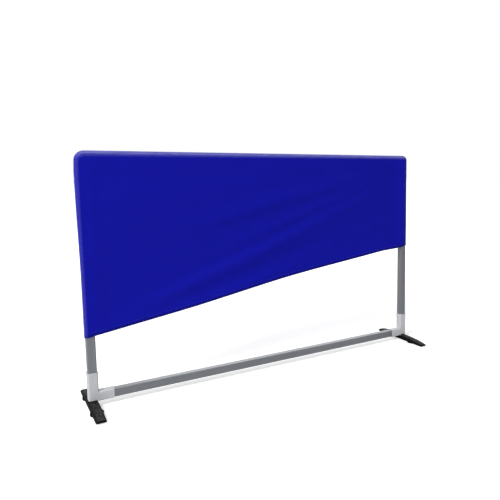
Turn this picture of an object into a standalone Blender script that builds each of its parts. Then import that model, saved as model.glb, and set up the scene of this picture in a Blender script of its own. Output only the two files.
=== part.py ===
"""Table tennis barrier: a square-tube frame on two swivelling feet, with a cloth sleeve drawn over it.

X runs along the barrier, Y through it and Z up, with the floor at zero.
All lengths are in metres.
"""
import math

import bmesh
import bpy
from mathutils import Matrix, Vector

# Whole barrier
frame_width = 1.200
frame_height = 0.750
ground_clearance = 0.018

# Square tube of the posts and rails
tube_width = 0.025
tube_wall = 0.0012
tube_edge_radius = 0.003

# Fits between pieces
seat_gap = 0.0003
cut_overrun = 0.004

# Lower corners: moulded sockets that take a post and the bottom rail
socket_wall = 0.0015
upright_leg_height = 0.088
rail_leg_length = 0.071
upright_socket_depth = 0.050
rail_socket_depth = 0.041
gusset_radius = 0.006
gusset_width = 0.016
rim_length = 0.008
rim_height = 0.0005
pocket_wall = 0.0055
pocket_depth = 0.018
pivot_boss_radius = 0.0055
pivot_boss_drop = 0.0006
pocket_rib_thickness = 0.0016
rib_recess = 0.001
hub_space_height = 0.0045
hub_side_gap = 0.0006

# Upper corners: moulded elbows that plug into the tube ends
elbow_outer_radius = 0.028
elbow_leg_length = 0.032
spigot_length = 0.030
spigot_edge_radius = 0.0020
spigot_wall = 0.0030
spigot_lead = 0.0010

# Turning stop: a peg under each lower corner that runs in an arc groove in the foot's hub
stop_orbit_radius = 0.0105
stop_start_degrees = 135.0
stop_peg_radius = 0.0020
stop_peg_drop = 0.0020
stop_side_clearance = 0.0004
stop_depth_clearance = 0.0006
foot_turn_degrees = 90.0

# Feet
pivot_offset = 0.0025
foot_length = 0.278
foot_width = 0.0288
foot_leg_clearance = 0.0008
hub_radius = 0.0140
foot_flat_length = 0.032
foot_tip_drop = 0.0095
foot_crown_power = 2.4
foot_underside_height = 0.0028
foot_tip_radius = 0.005
foot_edge_round = 0.0040
foot_side_wall = 0.0025
foot_top_skin = 0.0022
foot_boss_radius = 0.0100
foot_rib_thickness = 0.0022
foot_tip_wall = 0.0040
pad_zone_length = 0.018
inner_cell_count = 2
outer_cell_count = 3

# Rubber pads: round bumpers, wider than the foot, let into its underside
pad_distance = 0.068
pad_radius = 0.0185
pad_height = 0.0095
pad_edge_round = 0.0012
pad_stem_radius = 0.0035
pad_stem_length = 0.0040

# Pivot bolts, washers and nuts
bolt_radius = 0.0030
bolt_hex_radius = 0.0055
bolt_head_height = 0.0040
bolt_end_length = 0.0022
washer_radius = 0.0065
washer_thickness = 0.0012
nut_height = 0.0050
counterbore_clearance = 0.0008

# Self-tapping screws
screw_radius = 0.0020
screw_length = 0.0080
screw_tip_length = 0.0020
screw_head_radius = 0.0040
screw_head_height = 0.0024
screw_head_flat_radius = 0.0022
lower_screw_inset = 0.026
elbow_screw_inset = 0.014

# Sleeve
cloth_thickness = 0.0010
hem_left_height = 0.212
hem_right_height = 0.399
hem_bow = 0.007
fold_spread = 0.030
fold_edge_fade = 0.070

# Folds that the askew hem pulls into the front: start and end as shares of the frame, then ridge height
front_fold_shares = (
    (0.03, 0.33, 0.90, 0.80, 0.0050),
    (0.38, 0.60, 0.94, 0.93, 0.0035),
    (0.25, 0.72, 0.97, 0.94, 0.0030),
    (0.60, 0.62, 0.92, 0.83, 0.0030),
)
back_fold_shares = (
    (0.05, 0.36, 0.88, 0.84, 0.0045),
    (0.30, 0.64, 0.95, 0.92, 0.0035),
    (0.52, 0.56, 0.93, 0.76, 0.0030),
)

# Smoothness of curves
edge_steps = 4
corner_steps = 6
round_steps = 24
groove_steps = 12
crown_steps = 8
foot_round_steps = 4
elbow_steps = 6
lip_steps = 3
panel_columns = 20
panel_rows = 12
smooth_angle_degrees = 35.0
weld_distance = 0.00002

# Sizes that follow from the ones above
post_centre = (frame_width - tube_width) / 2
tube_half = tube_width / 2
socket_half = tube_half + seat_gap
corner_half = socket_half + socket_wall
corner_edge_radius = tube_edge_radius + seat_gap + socket_wall
corner_outer_x = post_centre + corner_half
corner_top = ground_clearance + upright_leg_height
rail_axis_height = ground_clearance + corner_half
pivot_centre = post_centre + pivot_offset
hub_space_top = ground_clearance + hub_space_height
hub_space_x = pivot_centre - hub_radius - hub_side_gap
rail_mouth_x = corner_outer_x - rail_leg_length
post_floor_height = corner_top - upright_socket_depth
rail_floor_x = rail_mouth_x + rail_socket_depth
elbow_shoulder_height = frame_height - elbow_leg_length
elbow_shoulder_x = frame_width / 2 - elbow_leg_length
top_rail_height = frame_height - tube_half
pivot_boss_bottom = hub_space_top - pivot_boss_drop
hub_top_height = pivot_boss_bottom - seat_gap
foot_top_height = ground_clearance - foot_leg_clearance
foot_half_length = foot_length / 2
counterbore_radius = washer_radius + counterbore_clearance
bolt_head_top = (
    foot_underside_height
    + seat_gap
    + bolt_head_height
)
washer_bottom = bolt_head_top + seat_gap
counterbore_top = washer_bottom + washer_thickness + seat_gap
nut_floor_height = post_floor_height - nut_height - seat_gap
nut_bottom = nut_floor_height + seat_gap
bolt_top = nut_bottom + nut_height + bolt_end_length
pivot_bore_radius = bolt_radius + seat_gap
screw_hole_depth = screw_length + seat_gap
cloth_inner_half = tube_half + seat_gap
cloth_outer_half = cloth_inner_half + cloth_thickness
cloth_side = frame_width / 2 + seat_gap + cloth_thickness
cloth_top = frame_height + seat_gap + cloth_thickness
cloth_corner_radius = elbow_outer_radius + seat_gap + cloth_thickness
lip_radius = tube_edge_radius + seat_gap + cloth_thickness
band_half_depth = cloth_outer_half - lip_radius - seat_gap


# Scene and object handling

def clear_scene():
    for obj in list(bpy.data.objects):
        bpy.data.objects.remove(obj, do_unlink=True)


def make_material(name, colour, roughness, metallic):
    material = bpy.data.materials.new(name)
    material.use_nodes = True
    shader = material.node_tree.nodes["Principled BSDF"]
    shader.inputs["Base Color"].default_value = (*colour, 1.0)
    shader.inputs["Roughness"].default_value = roughness
    shader.inputs["Metallic"].default_value = metallic
    material.diffuse_color = (*colour, 1.0)
    return material


def make_tube_metal():
    return make_material("aluminium_tube", (0.24, 0.25, 0.27), 0.38, 0.85)


def make_corner_plastic():
    return make_material("corner_plastic", (0.60, 0.61, 0.63), 0.50, 0.0)


def make_foot_plastic():
    return make_material("foot_plastic", (0.022, 0.022, 0.024), 0.55, 0.0)


def make_pad_rubber():
    return make_material("pad_rubber", (0.010, 0.010, 0.010), 0.85, 0.0)


def make_fastener_steel():
    return make_material("fastener_steel", (0.55, 0.55, 0.56), 0.30, 1.0)


def make_sleeve_cloth():
    return make_material("sleeve_cloth", (0.008, 0.010, 0.33), 0.80, 0.0)


def object_from_bmesh(name, bm):
    bmesh.ops.recalc_face_normals(bm, faces=bm.faces)
    mesh = bpy.data.meshes.new(name)
    bm.to_mesh(mesh)
    bm.free()
    obj = bpy.data.objects.new(name, mesh)
    bpy.context.scene.collection.objects.link(obj)
    return obj


def apply_modifiers(obj):
    bpy.context.view_layer.update()
    graph = bpy.context.evaluated_depsgraph_get()
    mesh = bpy.data.meshes.new_from_object(obj.evaluated_get(graph))
    old_mesh = obj.data
    obj.modifiers.clear()
    obj.data = mesh
    bpy.data.meshes.remove(old_mesh)


def combine(target, tool, operation):
    modifier = target.modifiers.new(operation.title(), "BOOLEAN")
    modifier.operation = operation
    modifier.solver = "EXACT"
    modifier.object = tool
    apply_modifiers(target)
    bpy.data.objects.remove(tool, do_unlink=True)


def cut(target, tool):
    combine(target, tool, "DIFFERENCE")


def join(target, tool):
    combine(target, tool, "UNION")


def weld(obj):
    """Closes up doubled corners that a cut leaves behind."""
    bm = bmesh.new()
    bm.from_mesh(obj.data)
    bmesh.ops.remove_doubles(bm, verts=bm.verts, dist=weld_distance)
    bm.to_mesh(obj.data)
    bm.free()


def finish(obj, name, material, parent=None):
    weld(obj)
    obj.name = name
    obj.data.name = name
    obj.data.materials.clear()
    obj.data.materials.append(material)
    obj.data.shade_smooth()
    obj.data.set_sharp_from_angle(angle=math.radians(smooth_angle_degrees))
    if parent is not None:
        obj.parent = parent
        obj.matrix_parent_inverse = parent.matrix_world.inverted()
    return obj


def make_empty(name, location):
    empty = bpy.data.objects.new(name, None)
    empty.location = location
    bpy.context.scene.collection.objects.link(empty)
    bpy.context.view_layer.update()
    return empty


# Basic forms

def rounded_square(half, radius, steps):
    points = []
    reach = half - radius
    for quarter in range(4):
        start = math.pi / 2 * quarter
        centre_angle = start + math.pi / 4
        centre_x = math.copysign(reach, math.cos(centre_angle))
        centre_y = math.copysign(reach, math.sin(centre_angle))
        for step in range(steps + 1):
            angle = start + math.pi / 2 * step / steps
            points.append((centre_x + radius * math.cos(angle), centre_y + radius * math.sin(angle)))
    return points


def circle(radius, steps):
    points = []
    for step in range(steps):
        angle = 2 * math.pi * step / steps
        points.append((radius * math.cos(angle), radius * math.sin(angle)))
    return points


def place(point, axis, distance, centre):
    first = point[0]
    second = point[1]
    if axis == "X":
        position = Vector((distance, first, second))
    elif axis == "Y":
        position = Vector((first, distance, second))
    else:
        position = Vector((first, second, distance))
    return position + Vector(centre)


def prism(outline, axis, low, high, centre=(0, 0, 0)):
    bm = bmesh.new()
    low_ring = [bm.verts.new(place(point, axis, low, centre)) for point in outline]
    high_ring = [bm.verts.new(place(point, axis, high, centre)) for point in outline]
    count = len(outline)
    for index in range(count):
        after = (index + 1) % count
        bm.faces.new((low_ring[index], low_ring[after], high_ring[after], high_ring[index]))
    bm.faces.new(low_ring)
    bm.faces.new(high_ring)
    return bm


def box(low, high):
    outline = ((low[0], low[1]), (high[0], low[1]), (high[0], high[1]), (low[0], high[1]))
    return prism(outline, "Z", low[2], high[2])


def lathe(profile, steps):
    bm = bmesh.new()
    rings = []
    for radius, height in profile:
        if radius == 0:
            rings.append([bm.verts.new((0, 0, height))])
        else:
            rings.append([bm.verts.new((x, y, height)) for x, y in circle(radius, steps)])
    for lower, upper in zip(rings, rings[1:]):
        for index in range(steps):
            after = (index + 1) % steps
            corners = [lower[index % len(lower)], lower[after % len(lower)]]
            corners += [upper[after % len(upper)], upper[index % len(upper)]]
            bm.faces.new(list(dict.fromkeys(corners)))
    return bm


def turned(bm, axis_from, axis_to, centre):
    rotation = Vector(axis_from).rotation_difference(Vector(axis_to)).to_matrix().to_4x4()
    bm.transform(Matrix.Translation(centre) @ rotation)
    return bm


def hexagon(radius):
    return circle(radius, 6)


def bevel_edges(bm, chosen, width, steps):
    edges = [edge for edge in bm.edges if chosen(edge)]
    bmesh.ops.bevel(
        bm,
        geom=edges,
        offset=width,
        offset_type="OFFSET",
        segments=steps,
        profile=0.5,
        affect="EDGES",
        clamp_overlap=False,
    )


def solid(bm):
    return object_from_bmesh("solid", bm)


# Tubes

def make_tube(name, axis, low, high, centre, holes, material):
    outer = solid(prism(rounded_square(tube_half, tube_edge_radius, edge_steps), axis, low, high, centre))
    inner_half = tube_half - tube_wall
    inner_radius = tube_edge_radius - tube_wall
    bore_outline = rounded_square(inner_half, inner_radius, edge_steps)
    cut(outer, solid(prism(bore_outline, axis, low - cut_overrun, high + cut_overrun, centre)))
    for hole in holes:
        cut(outer, hole)
    return finish(outer, name, material)


def screw_hole(centre, direction):
    hole = prism(circle(screw_radius + seat_gap, round_steps), "Z", -cut_overrun, screw_hole_depth)
    return solid(turned(hole, (0, 0, 1), direction, centre))


# Places of the self-tapping screws: where the head seats and which way the shank points

def lower_post_screw_seat(side):
    return (side * post_centre, corner_half, corner_top - lower_screw_inset)


def lower_rail_screw_seat(side):
    return (side * (rail_mouth_x + lower_screw_inset), corner_half, rail_axis_height)


def elbow_post_screw_seat(side):
    return (side * (post_centre - tube_half), 0, elbow_shoulder_height - elbow_screw_inset)


def elbow_rail_screw_seat(side):
    return (side * (elbow_shoulder_x - elbow_screw_inset), 0, frame_height - tube_width)


def make_post(side, name, material):
    low = post_floor_height + seat_gap
    high = elbow_shoulder_height - seat_gap
    holes = [
        screw_hole(lower_post_screw_seat(side), (0, -1, 0)),
        screw_hole(elbow_post_screw_seat(side), (side, 0, 0)),
    ]
    return make_tube(name, "Z", low, high, (side * post_centre, 0, 0), holes, material)


def make_bottom_rail(material):
    half = rail_floor_x - seat_gap
    holes = [screw_hole(lower_rail_screw_seat(side), (0, -1, 0)) for side in (-1, 1)]
    return make_tube("bottom_rail", "X", -half, half, (0, 0, rail_axis_height), holes, material)


def make_top_rail(material):
    half = elbow_shoulder_x - seat_gap
    holes = [screw_hole(elbow_rail_screw_seat(side), (0, 0, 1)) for side in (-1, 1)]
    return make_tube("top_rail", "X", -half, half, (0, 0, top_rail_height), holes, material)


# Lower corners

def arc(centre, radius, start_degrees, end_degrees, steps):
    points = []
    for step in range(steps + 1):
        angle = math.radians(start_degrees + (end_degrees - start_degrees) * step / steps)
        points.append((centre[0] + radius * math.cos(angle), centre[1] + radius * math.sin(angle)))
    return points


def make_corner_body():
    outline = rounded_square(corner_half, corner_edge_radius, edge_steps)
    high = corner_top - rim_length / 2
    start = rail_mouth_x + rim_length / 2
    body = solid(prism(outline, "Z", ground_clearance, high, (post_centre, 0, 0)))
    join(body, solid(prism(outline, "X", start, post_centre, (0, 0, rail_axis_height))))
    return body


def add_gusset(body):
    """Rounded web that stiffens the inside of the corner."""
    inner_x = post_centre - corner_half
    leg_top = rail_axis_height + corner_half
    rooted_x = inner_x + socket_wall / 2
    rooted_z = leg_top - socket_wall / 2
    centre = (inner_x - gusset_radius, leg_top + gusset_radius)
    outline = arc(centre, gusset_radius, 0, -90, corner_steps)
    outline += [(inner_x - gusset_radius, rooted_z), (rooted_x, rooted_z), (rooted_x, leg_top + gusset_radius)]
    join(body, solid(prism(outline, "Y", -gusset_width / 2, gusset_width / 2)))


def add_rims(body):
    rim_half = corner_half + rim_height
    rim_outline = rounded_square(rim_half, corner_edge_radius + rim_height, edge_steps)
    join(body, solid(prism(rim_outline, "Z", corner_top - rim_length, corner_top, (post_centre, 0, 0))))
    rim_centre = (0, 0, rail_axis_height)
    join(body, solid(prism(rim_outline, "X", rail_mouth_x, rail_mouth_x + rim_length, rim_centre)))


def cut_sockets(body):
    socket_outline = rounded_square(socket_half, tube_edge_radius + seat_gap, edge_steps)
    above = corner_top + cut_overrun
    cut(body, solid(prism(socket_outline, "Z", post_floor_height, above, (post_centre, 0, 0))))
    before = rail_mouth_x - cut_overrun
    cut(body, solid(prism(socket_outline, "X", before, rail_floor_x, (0, 0, rail_axis_height))))


def clear_hub_space(body):
    """The corner stops short above the foot, which leaves room for the foot's hub to turn."""
    cut(body, solid(box(
        (hub_space_x, -corner_half - cut_overrun, ground_clearance - cut_overrun),
        (corner_outer_x + cut_overrun, corner_half + cut_overrun, hub_space_top),
    )))


def core_underside(body):
    pocket_half = corner_half - pocket_wall
    pocket_top = ground_clearance + pocket_depth
    rooted = pocket_top + cut_overrun / 2
    cut(body, solid(box(
        (post_centre - pocket_half, -pocket_half, ground_clearance - cut_overrun),
        (post_centre + pocket_half, pocket_half, pocket_top),
    )))
    rib_half = pocket_rib_thickness / 2
    rib_reach = pocket_half + pocket_wall / 2
    rib_bottom = hub_space_top + rib_recess
    join(body, solid(box(
        (post_centre - rib_reach, -rib_half, rib_bottom),
        (post_centre + rib_reach, rib_half, rooted),
    )))
    join(body, solid(box(
        (post_centre - rib_half, -rib_reach, rib_bottom),
        (post_centre + rib_half, rib_reach, rooted),
    )))
    centre = (pivot_centre, 0, 0)
    join(body, solid(prism(circle(pivot_boss_radius, round_steps), "Z", pivot_boss_bottom, rooted, centre)))
    start = math.radians(stop_start_degrees)
    peg_x = pivot_centre + stop_orbit_radius * math.cos(start)
    peg_centre = (peg_x, stop_orbit_radius * math.sin(start), 0)
    peg_bottom = hub_top_height - stop_peg_drop
    join(body, solid(prism(circle(stop_peg_radius, round_steps), "Z", peg_bottom, rooted, peg_centre)))


def cut_pivot_seat(body):
    centre = (pivot_centre, 0, 0)
    below = ground_clearance - cut_overrun
    bore = circle(pivot_bore_radius, round_steps)
    cut(body, solid(prism(bore, "Z", below, post_floor_height + cut_overrun, centre)))
    pocket = hexagon(bolt_hex_radius + seat_gap)
    cut(body, solid(prism(pocket, "Z", nut_floor_height, post_floor_height + cut_overrun, centre)))


def make_lower_corner(side, name, material):
    body = make_corner_body()
    add_gusset(body)
    add_rims(body)
    cut_sockets(body)
    clear_hub_space(body)
    core_underside(body)
    cut_pivot_seat(body)
    cut(body, screw_hole(lower_post_screw_seat(1), (0, -1, 0)))
    cut(body, screw_hole(lower_rail_screw_seat(1), (0, -1, 0)))
    if side < 0:
        mirror(body)
    return finish(body, name, material)


def mirror(obj):
    obj.data.transform(Matrix.Scale(-1, 4, (1, 0, 0)))
    obj.data.flip_normals()


# Upper corners

def elbow_stations():
    """Centres of the swept section with its outward direction, from the post's shoulder to the rail's."""
    bend_x = frame_width / 2 - elbow_outer_radius
    bend_z = frame_height - elbow_outer_radius
    reach = elbow_outer_radius - tube_half
    stations = [((post_centre, elbow_shoulder_height), (1, 0))]
    for step in range(elbow_steps + 1):
        angle = math.pi / 2 * step / elbow_steps
        outward = (math.cos(angle), math.sin(angle))
        stations.append(((bend_x + reach * outward[0], bend_z + reach * outward[1]), outward))
    stations.append(((elbow_shoulder_x, top_rail_height), (0, 1)))
    return stations


def make_elbow_bend():
    section = rounded_square(tube_half, tube_edge_radius, edge_steps)
    count = len(section)
    bm = bmesh.new()
    rings = []
    for centre, outward in elbow_stations():
        ring = []
        for across, depth in section:
            x = centre[0] + across * outward[0]
            z = centre[1] + across * outward[1]
            ring.append(bm.verts.new((x, depth, z)))
        rings.append(ring)
    for near, far in zip(rings, rings[1:]):
        for index in range(count):
            after = (index + 1) % count
            bm.faces.new((near[index], near[after], far[after], far[index]))
    bm.faces.new(rings[0])
    bm.faces.new(rings[-1])
    return solid(bm)


def make_spigot(axis, shoulder, away):
    outer_half = tube_half - tube_wall - seat_gap
    root = shoulder - away * cut_overrun / 2
    end = shoulder + away * spigot_length
    outline = rounded_square(outer_half, spigot_edge_radius, edge_steps)
    if axis == "Z":
        centre = (post_centre, 0, 0)
    else:
        centre = (0, 0, top_rail_height)
    bm = prism(outline, axis, min(root, end), max(root, end), centre)
    index = "XYZ".index(axis)
    bevel_edges(
        bm,
        lambda edge: all(abs(vert.co[index] - end) < weld_distance for vert in edge.verts),
        spigot_lead, 1,
    )
    return solid(bm)


def make_spigot_bore(axis, shoulder, away):
    inner_half = tube_half - tube_wall - seat_gap - spigot_wall
    outline = rounded_square(inner_half, spigot_edge_radius, edge_steps)
    start = shoulder
    end = shoulder + away * (spigot_length + cut_overrun)
    if axis == "Z":
        centre = (post_centre, 0, 0)
    else:
        centre = (0, 0, top_rail_height)
    return solid(prism(outline, axis, min(start, end), max(start, end), centre))


def make_elbow(side, name, material):
    body = make_elbow_bend()
    join(body, make_spigot("Z", elbow_shoulder_height, -1))
    join(body, make_spigot("X", elbow_shoulder_x, -1))
    cut(body, make_spigot_bore("Z", elbow_shoulder_height, -1))
    cut(body, make_spigot_bore("X", elbow_shoulder_x, -1))
    cut(body, screw_hole(elbow_post_screw_seat(1), (1, 0, 0)))
    cut(body, screw_hole(elbow_rail_screw_seat(1), (0, 0, 1)))
    if side < 0:
        mirror(body)
    return finish(body, name, material)


# Fasteners

def make_screw(name, seat, direction, material):
    profile = (
        (0, -seat_gap - screw_head_height),
        (screw_head_flat_radius, -seat_gap - screw_head_height),
        (screw_head_radius, -seat_gap - screw_head_height / 2),
        (screw_head_radius, -seat_gap),
        (screw_radius, -seat_gap),
        (screw_radius, screw_length - screw_tip_length),
        (0, screw_length),
    )
    screw = turned(lathe(profile, round_steps // 2), (0, 0, 1), direction, seat)
    return finish(solid(screw), name, material)


def make_pivot_bolt(side, name, material):
    centre = (side * pivot_centre, 0, 0)
    head_bottom = bolt_head_top - bolt_head_height
    bolt = solid(prism(hexagon(bolt_hex_radius), "Z", head_bottom, bolt_head_top, centre))
    shank_root = bolt_head_top - bolt_head_height / 2
    join(bolt, solid(prism(circle(bolt_radius, round_steps), "Z", shank_root, bolt_top, centre)))
    return finish(bolt, name, material)


def make_pivot_washer(side, name, material):
    centre = (side * pivot_centre, 0, 0)
    high = washer_bottom + washer_thickness
    washer = solid(prism(circle(washer_radius, round_steps), "Z", washer_bottom, high, centre))
    hole = circle(pivot_bore_radius, round_steps)
    cut(washer, solid(prism(hole, "Z", washer_bottom - cut_overrun, high + cut_overrun, centre)))
    return finish(washer, name, material)


def make_pivot_nut(side, name, material):
    centre = (side * pivot_centre, 0, 0)
    high = nut_bottom + nut_height
    nut = solid(prism(hexagon(bolt_hex_radius), "Z", nut_bottom, high, centre))
    hole = circle(pivot_bore_radius, round_steps)
    cut(nut, solid(prism(hole, "Z", nut_bottom - cut_overrun, high + cut_overrun, centre)))
    return finish(nut, name, material)


# Feet

def foot_crown(distance):
    flat_half = foot_flat_length / 2
    share = max(0, (abs(distance) - flat_half) / (foot_half_length - flat_half))
    return foot_top_height - foot_tip_drop * share ** foot_crown_power


def foot_stations():
    """Distances along the foot, with half its width at each; the tips are rounded in plan."""
    half_width = foot_width / 2
    flat_half = foot_flat_length / 2
    run = foot_half_length - foot_tip_radius - flat_half
    stations = []
    for step in range(crown_steps + 1):
        stations.append((flat_half + run * step / crown_steps, half_width))
    for step in range(1, edge_steps + 1):
        angle = math.pi / 2 * step / edge_steps
        distance = foot_half_length - foot_tip_radius * (1 - math.sin(angle))
        stations.append((distance, half_width - foot_tip_radius * (1 - math.cos(angle))))
    mirrored = [(-distance, half) for distance, half in reversed(stations)]
    return mirrored + stations


def foot_section(half, top):
    round_centre = half - foot_edge_round
    round_height = top - foot_edge_round
    points = [(-half, foot_underside_height), (half, foot_underside_height)]
    points += arc((round_centre, round_height), foot_edge_round, 0, 90, foot_round_steps)
    points += arc((-round_centre, round_height), foot_edge_round, 90, 180, foot_round_steps)
    return points


def make_foot_body():
    bm = bmesh.new()
    rings = []
    for distance, half in foot_stations():
        section = foot_section(half, foot_crown(distance))
        rings.append([bm.verts.new((x, distance, z)) for x, z in section])
    for near, far in zip(rings, rings[1:]):
        for index in range(len(near)):
            after = (index + 1) % len(near)
            bm.faces.new((near[index], near[after], far[after], far[index]))
    bm.faces.new(rings[0])
    bm.faces.new(rings[-1])
    return solid(bm)


def cell_limits():
    """Distances from the pivot between which the underside is cored out."""
    limits = []
    start = foot_boss_radius + foot_rib_thickness
    pad_start = pad_distance - pad_zone_length / 2
    pad_end = pad_distance + pad_zone_length / 2
    tip = foot_half_length - foot_tip_wall
    spans = ((start, pad_start, inner_cell_count), (pad_end, tip, outer_cell_count))
    for low, high, count in spans:
        pitch = (high - low + foot_rib_thickness) / count
        for index in range(count):
            near = low + pitch * index
            limits.append((near, near + pitch - foot_rib_thickness))
    return limits


def core_foot(body):
    for near, far in cell_limits():
        half = foot_width / 2 - foot_side_wall
        ceiling = foot_crown(far) - foot_top_skin
        for facing in (-1, 1):
            low = min(facing * near, facing * far)
            high = max(facing * near, facing * far)
            cut(body, solid(box(
                (-half, low, foot_underside_height - cut_overrun),
                (half, high, ceiling),
            )))


def groove_outline(turn):
    """Kidney-shaped slot that the stop peg runs in, swept over the turn plus the peg itself."""
    half = stop_peg_radius + stop_side_clearance
    start = math.radians(stop_start_degrees)
    end = start + math.radians(turn)
    points = []
    for step in range(groove_steps + 1):
        angle = start + (end - start) * step / groove_steps
        reach = stop_orbit_radius + half
        points.append((reach * math.cos(angle), reach * math.sin(angle)))
    points += slot_end(end, half, 0)
    for step in range(groove_steps + 1):
        angle = end - (end - start) * step / groove_steps
        reach = stop_orbit_radius - half
        points.append((reach * math.cos(angle), reach * math.sin(angle)))
    points += slot_end(start, half, math.pi)
    return points


def slot_end(angle, half, turned_by):
    centre_x = stop_orbit_radius * math.cos(angle)
    centre_y = stop_orbit_radius * math.sin(angle)
    points = []
    for step in range(1, corner_steps):
        sweep = angle + turned_by + math.pi * step / corner_steps
        points.append((centre_x + half * math.cos(sweep), centre_y + half * math.sin(sweep)))
    return points


def make_foot_bar(side, name, material, parent):
    body = make_foot_body()
    core_foot(body)
    below = foot_underside_height - cut_overrun
    above = hub_top_height + cut_overrun
    hub_root = foot_top_height - foot_edge_round
    join(body, solid(prism(circle(hub_radius, round_steps), "Z", hub_root, hub_top_height)))
    cut(body, solid(prism(circle(pivot_bore_radius, round_steps), "Z", below, above)))
    cut(body, solid(prism(circle(counterbore_radius, round_steps), "Z", below, counterbore_top)))
    groove_floor = hub_top_height - stop_peg_drop - stop_depth_clearance
    cut(body, solid(prism(groove_outline(foot_turn_degrees), "Z", groove_floor, above)))
    pad_recess = circle(pad_radius + seat_gap, round_steps)
    stem_hole = circle(pad_stem_radius + seat_gap, round_steps)
    stem_top = pad_height + pad_stem_length + seat_gap
    for facing in (-1, 1):
        centre = (0, facing * pad_distance, 0)
        cut(body, solid(prism(pad_recess, "Z", below, pad_height + seat_gap, centre)))
        cut(body, solid(prism(stem_hole, "Z", below, stem_top, centre)))
    if side < 0:
        mirror(body)
    body.data.transform(Matrix.Translation((side * pivot_centre, 0, 0)))
    return finish(body, name, material, parent)


def make_pad(side, facing, name, material, parent):
    profile = (
        (0, 0),
        (pad_radius - pad_edge_round, 0),
        (pad_radius, pad_edge_round),
        (pad_radius, pad_height - pad_edge_round),
        (pad_radius - pad_edge_round, pad_height),
        (pad_stem_radius, pad_height),
        (pad_stem_radius, pad_height + pad_stem_length),
        (0, pad_height + pad_stem_length),
    )
    pad = solid(lathe(profile, round_steps))
    pad.data.transform(Matrix.Translation((side * pivot_centre, facing * pad_distance, 0)))
    return finish(pad, name, material, parent)


# Sleeve

def hem_height(x):
    share = (x + frame_width / 2) / frame_width
    rise = (hem_right_height - hem_left_height) * share
    return hem_left_height + rise + hem_bow * 4 * share * (1 - share)


def smooth_step(share):
    held = min(1, max(0, share))
    return held * held * (3 - 2 * held)


def fold_height(x, z, fold_shares):
    half_width = frame_width / 2
    edge_distance = min(half_width - abs(x), frame_height - z)
    fade = smooth_step((edge_distance - tube_width) / fold_edge_fade)
    total = 0
    for start_share_x, start_share_z, end_share_x, end_share_z, ridge in fold_shares:
        start = Vector((start_share_x * frame_width - half_width, start_share_z * frame_height))
        end = Vector((end_share_x * frame_width - half_width, end_share_z * frame_height))
        along = end - start
        offset = Vector((x, z)) - start
        share = offset.dot(along) / along.length_squared
        inside = max(0, share * (1 - share)) * 4
        aside = along.normalized().cross(offset)
        total += ridge * math.sqrt(inside) * math.exp(-(aside / fold_spread) ** 2)
    return total * fade


def panel_column_positions():
    """Distances along X, closer together where the upper corners curve, with the top edge above each."""
    half = cloth_side - lip_radius
    top = cloth_top - lip_radius
    radius = cloth_corner_radius - lip_radius
    columns = []
    for step in range(elbow_steps):
        angle = math.pi / 2 * step / elbow_steps
        outward = (-math.cos(angle), math.sin(angle))
        x = -half + radius * (1 - math.cos(angle))
        columns.append((x, top - radius * (1 - math.sin(angle)), outward))
    straight = half - radius
    for step in range(panel_columns + 1):
        x = -straight + 2 * straight * step / panel_columns
        columns.append((x, top, (0, 1)))
    mirrored = [(-x, z, (-out[0], out[1])) for x, z, out in reversed(columns[:elbow_steps])]
    return columns + mirrored


def make_sleeve_panel(facing, name, fold_shares, material, parent):
    columns = panel_column_positions()
    bm = bmesh.new()
    face_y = facing * cloth_outer_half
    grid = []
    for x, top, outward in columns:
        low = hem_height(x)
        column = []
        for row in range(panel_rows + 1):
            z = low + (top - low) * row / panel_rows
            y = face_y + facing * fold_height(x, z, fold_shares)
            column.append(bm.verts.new((x, y, z)))
        grid.append(column)
    for left, right in zip(grid, grid[1:]):
        for row in range(panel_rows):
            bm.faces.new((left[row], right[row], right[row + 1], left[row + 1]))
    border = [(vert, (-1, 0)) for vert in grid[0][:-1]]
    border += [(column[-1], entry[2]) for column, entry in zip(grid, columns)]
    border += [(vert, (1, 0)) for vert in reversed(grid[-1][:-1])]
    previous = [vert for vert, outward in border]
    for step in range(1, lip_steps + 1):
        angle = math.pi / 2 * step / lip_steps
        spread = lip_radius * math.sin(angle)
        back = facing * lip_radius * (1 - math.cos(angle))
        ring = []
        for vert, outward in border:
            x = vert.co.x + outward[0] * spread
            z = vert.co.z + outward[1] * spread
            ring.append(bm.verts.new((x, face_y - back, z)))
        for index in range(len(ring) - 1):
            bm.faces.new((previous[index], previous[index + 1], ring[index + 1], ring[index]))
        previous = ring
    bmesh.ops.recalc_face_normals(bm, faces=bm.faces)
    middle = min(bm.faces, key=lambda face: (face.calc_center_median() - Vector((0, face_y, cloth_top / 2))).length)
    if middle.normal.y * facing < 0:
        bmesh.ops.reverse_faces(bm, faces=bm.faces)
    mesh = bpy.data.meshes.new(name)
    bm.to_mesh(mesh)
    bm.free()
    panel = bpy.data.objects.new(name, mesh)
    bpy.context.scene.collection.objects.link(panel)
    thicken = panel.modifiers.new("Thickness", "SOLIDIFY")
    thicken.thickness = cloth_thickness
    thicken.offset = -1
    thicken.use_even_offset = True
    apply_modifiers(panel)
    return finish(panel, name, material, parent)


def band_solid(path):
    """Strip of cloth between the two panels, following outward-facing points of its outer face."""
    bm = bmesh.new()
    sections = []
    for x, z, out_x, out_z in path:
        inner_x = x - out_x * cloth_thickness
        inner_z = z - out_z * cloth_thickness
        sections.append([
            bm.verts.new((x, -band_half_depth, z)),
            bm.verts.new((x, band_half_depth, z)),
            bm.verts.new((inner_x, band_half_depth, inner_z)),
            bm.verts.new((inner_x, -band_half_depth, inner_z)),
        ])
    for near, far in zip(sections, sections[1:]):
        for index in range(4):
            after = (index + 1) % 4
            bm.faces.new((near[index], near[after], far[after], far[index]))
    bm.faces.new(sections[0])
    bm.faces.new(sections[-1])
    return solid(bm)


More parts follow.
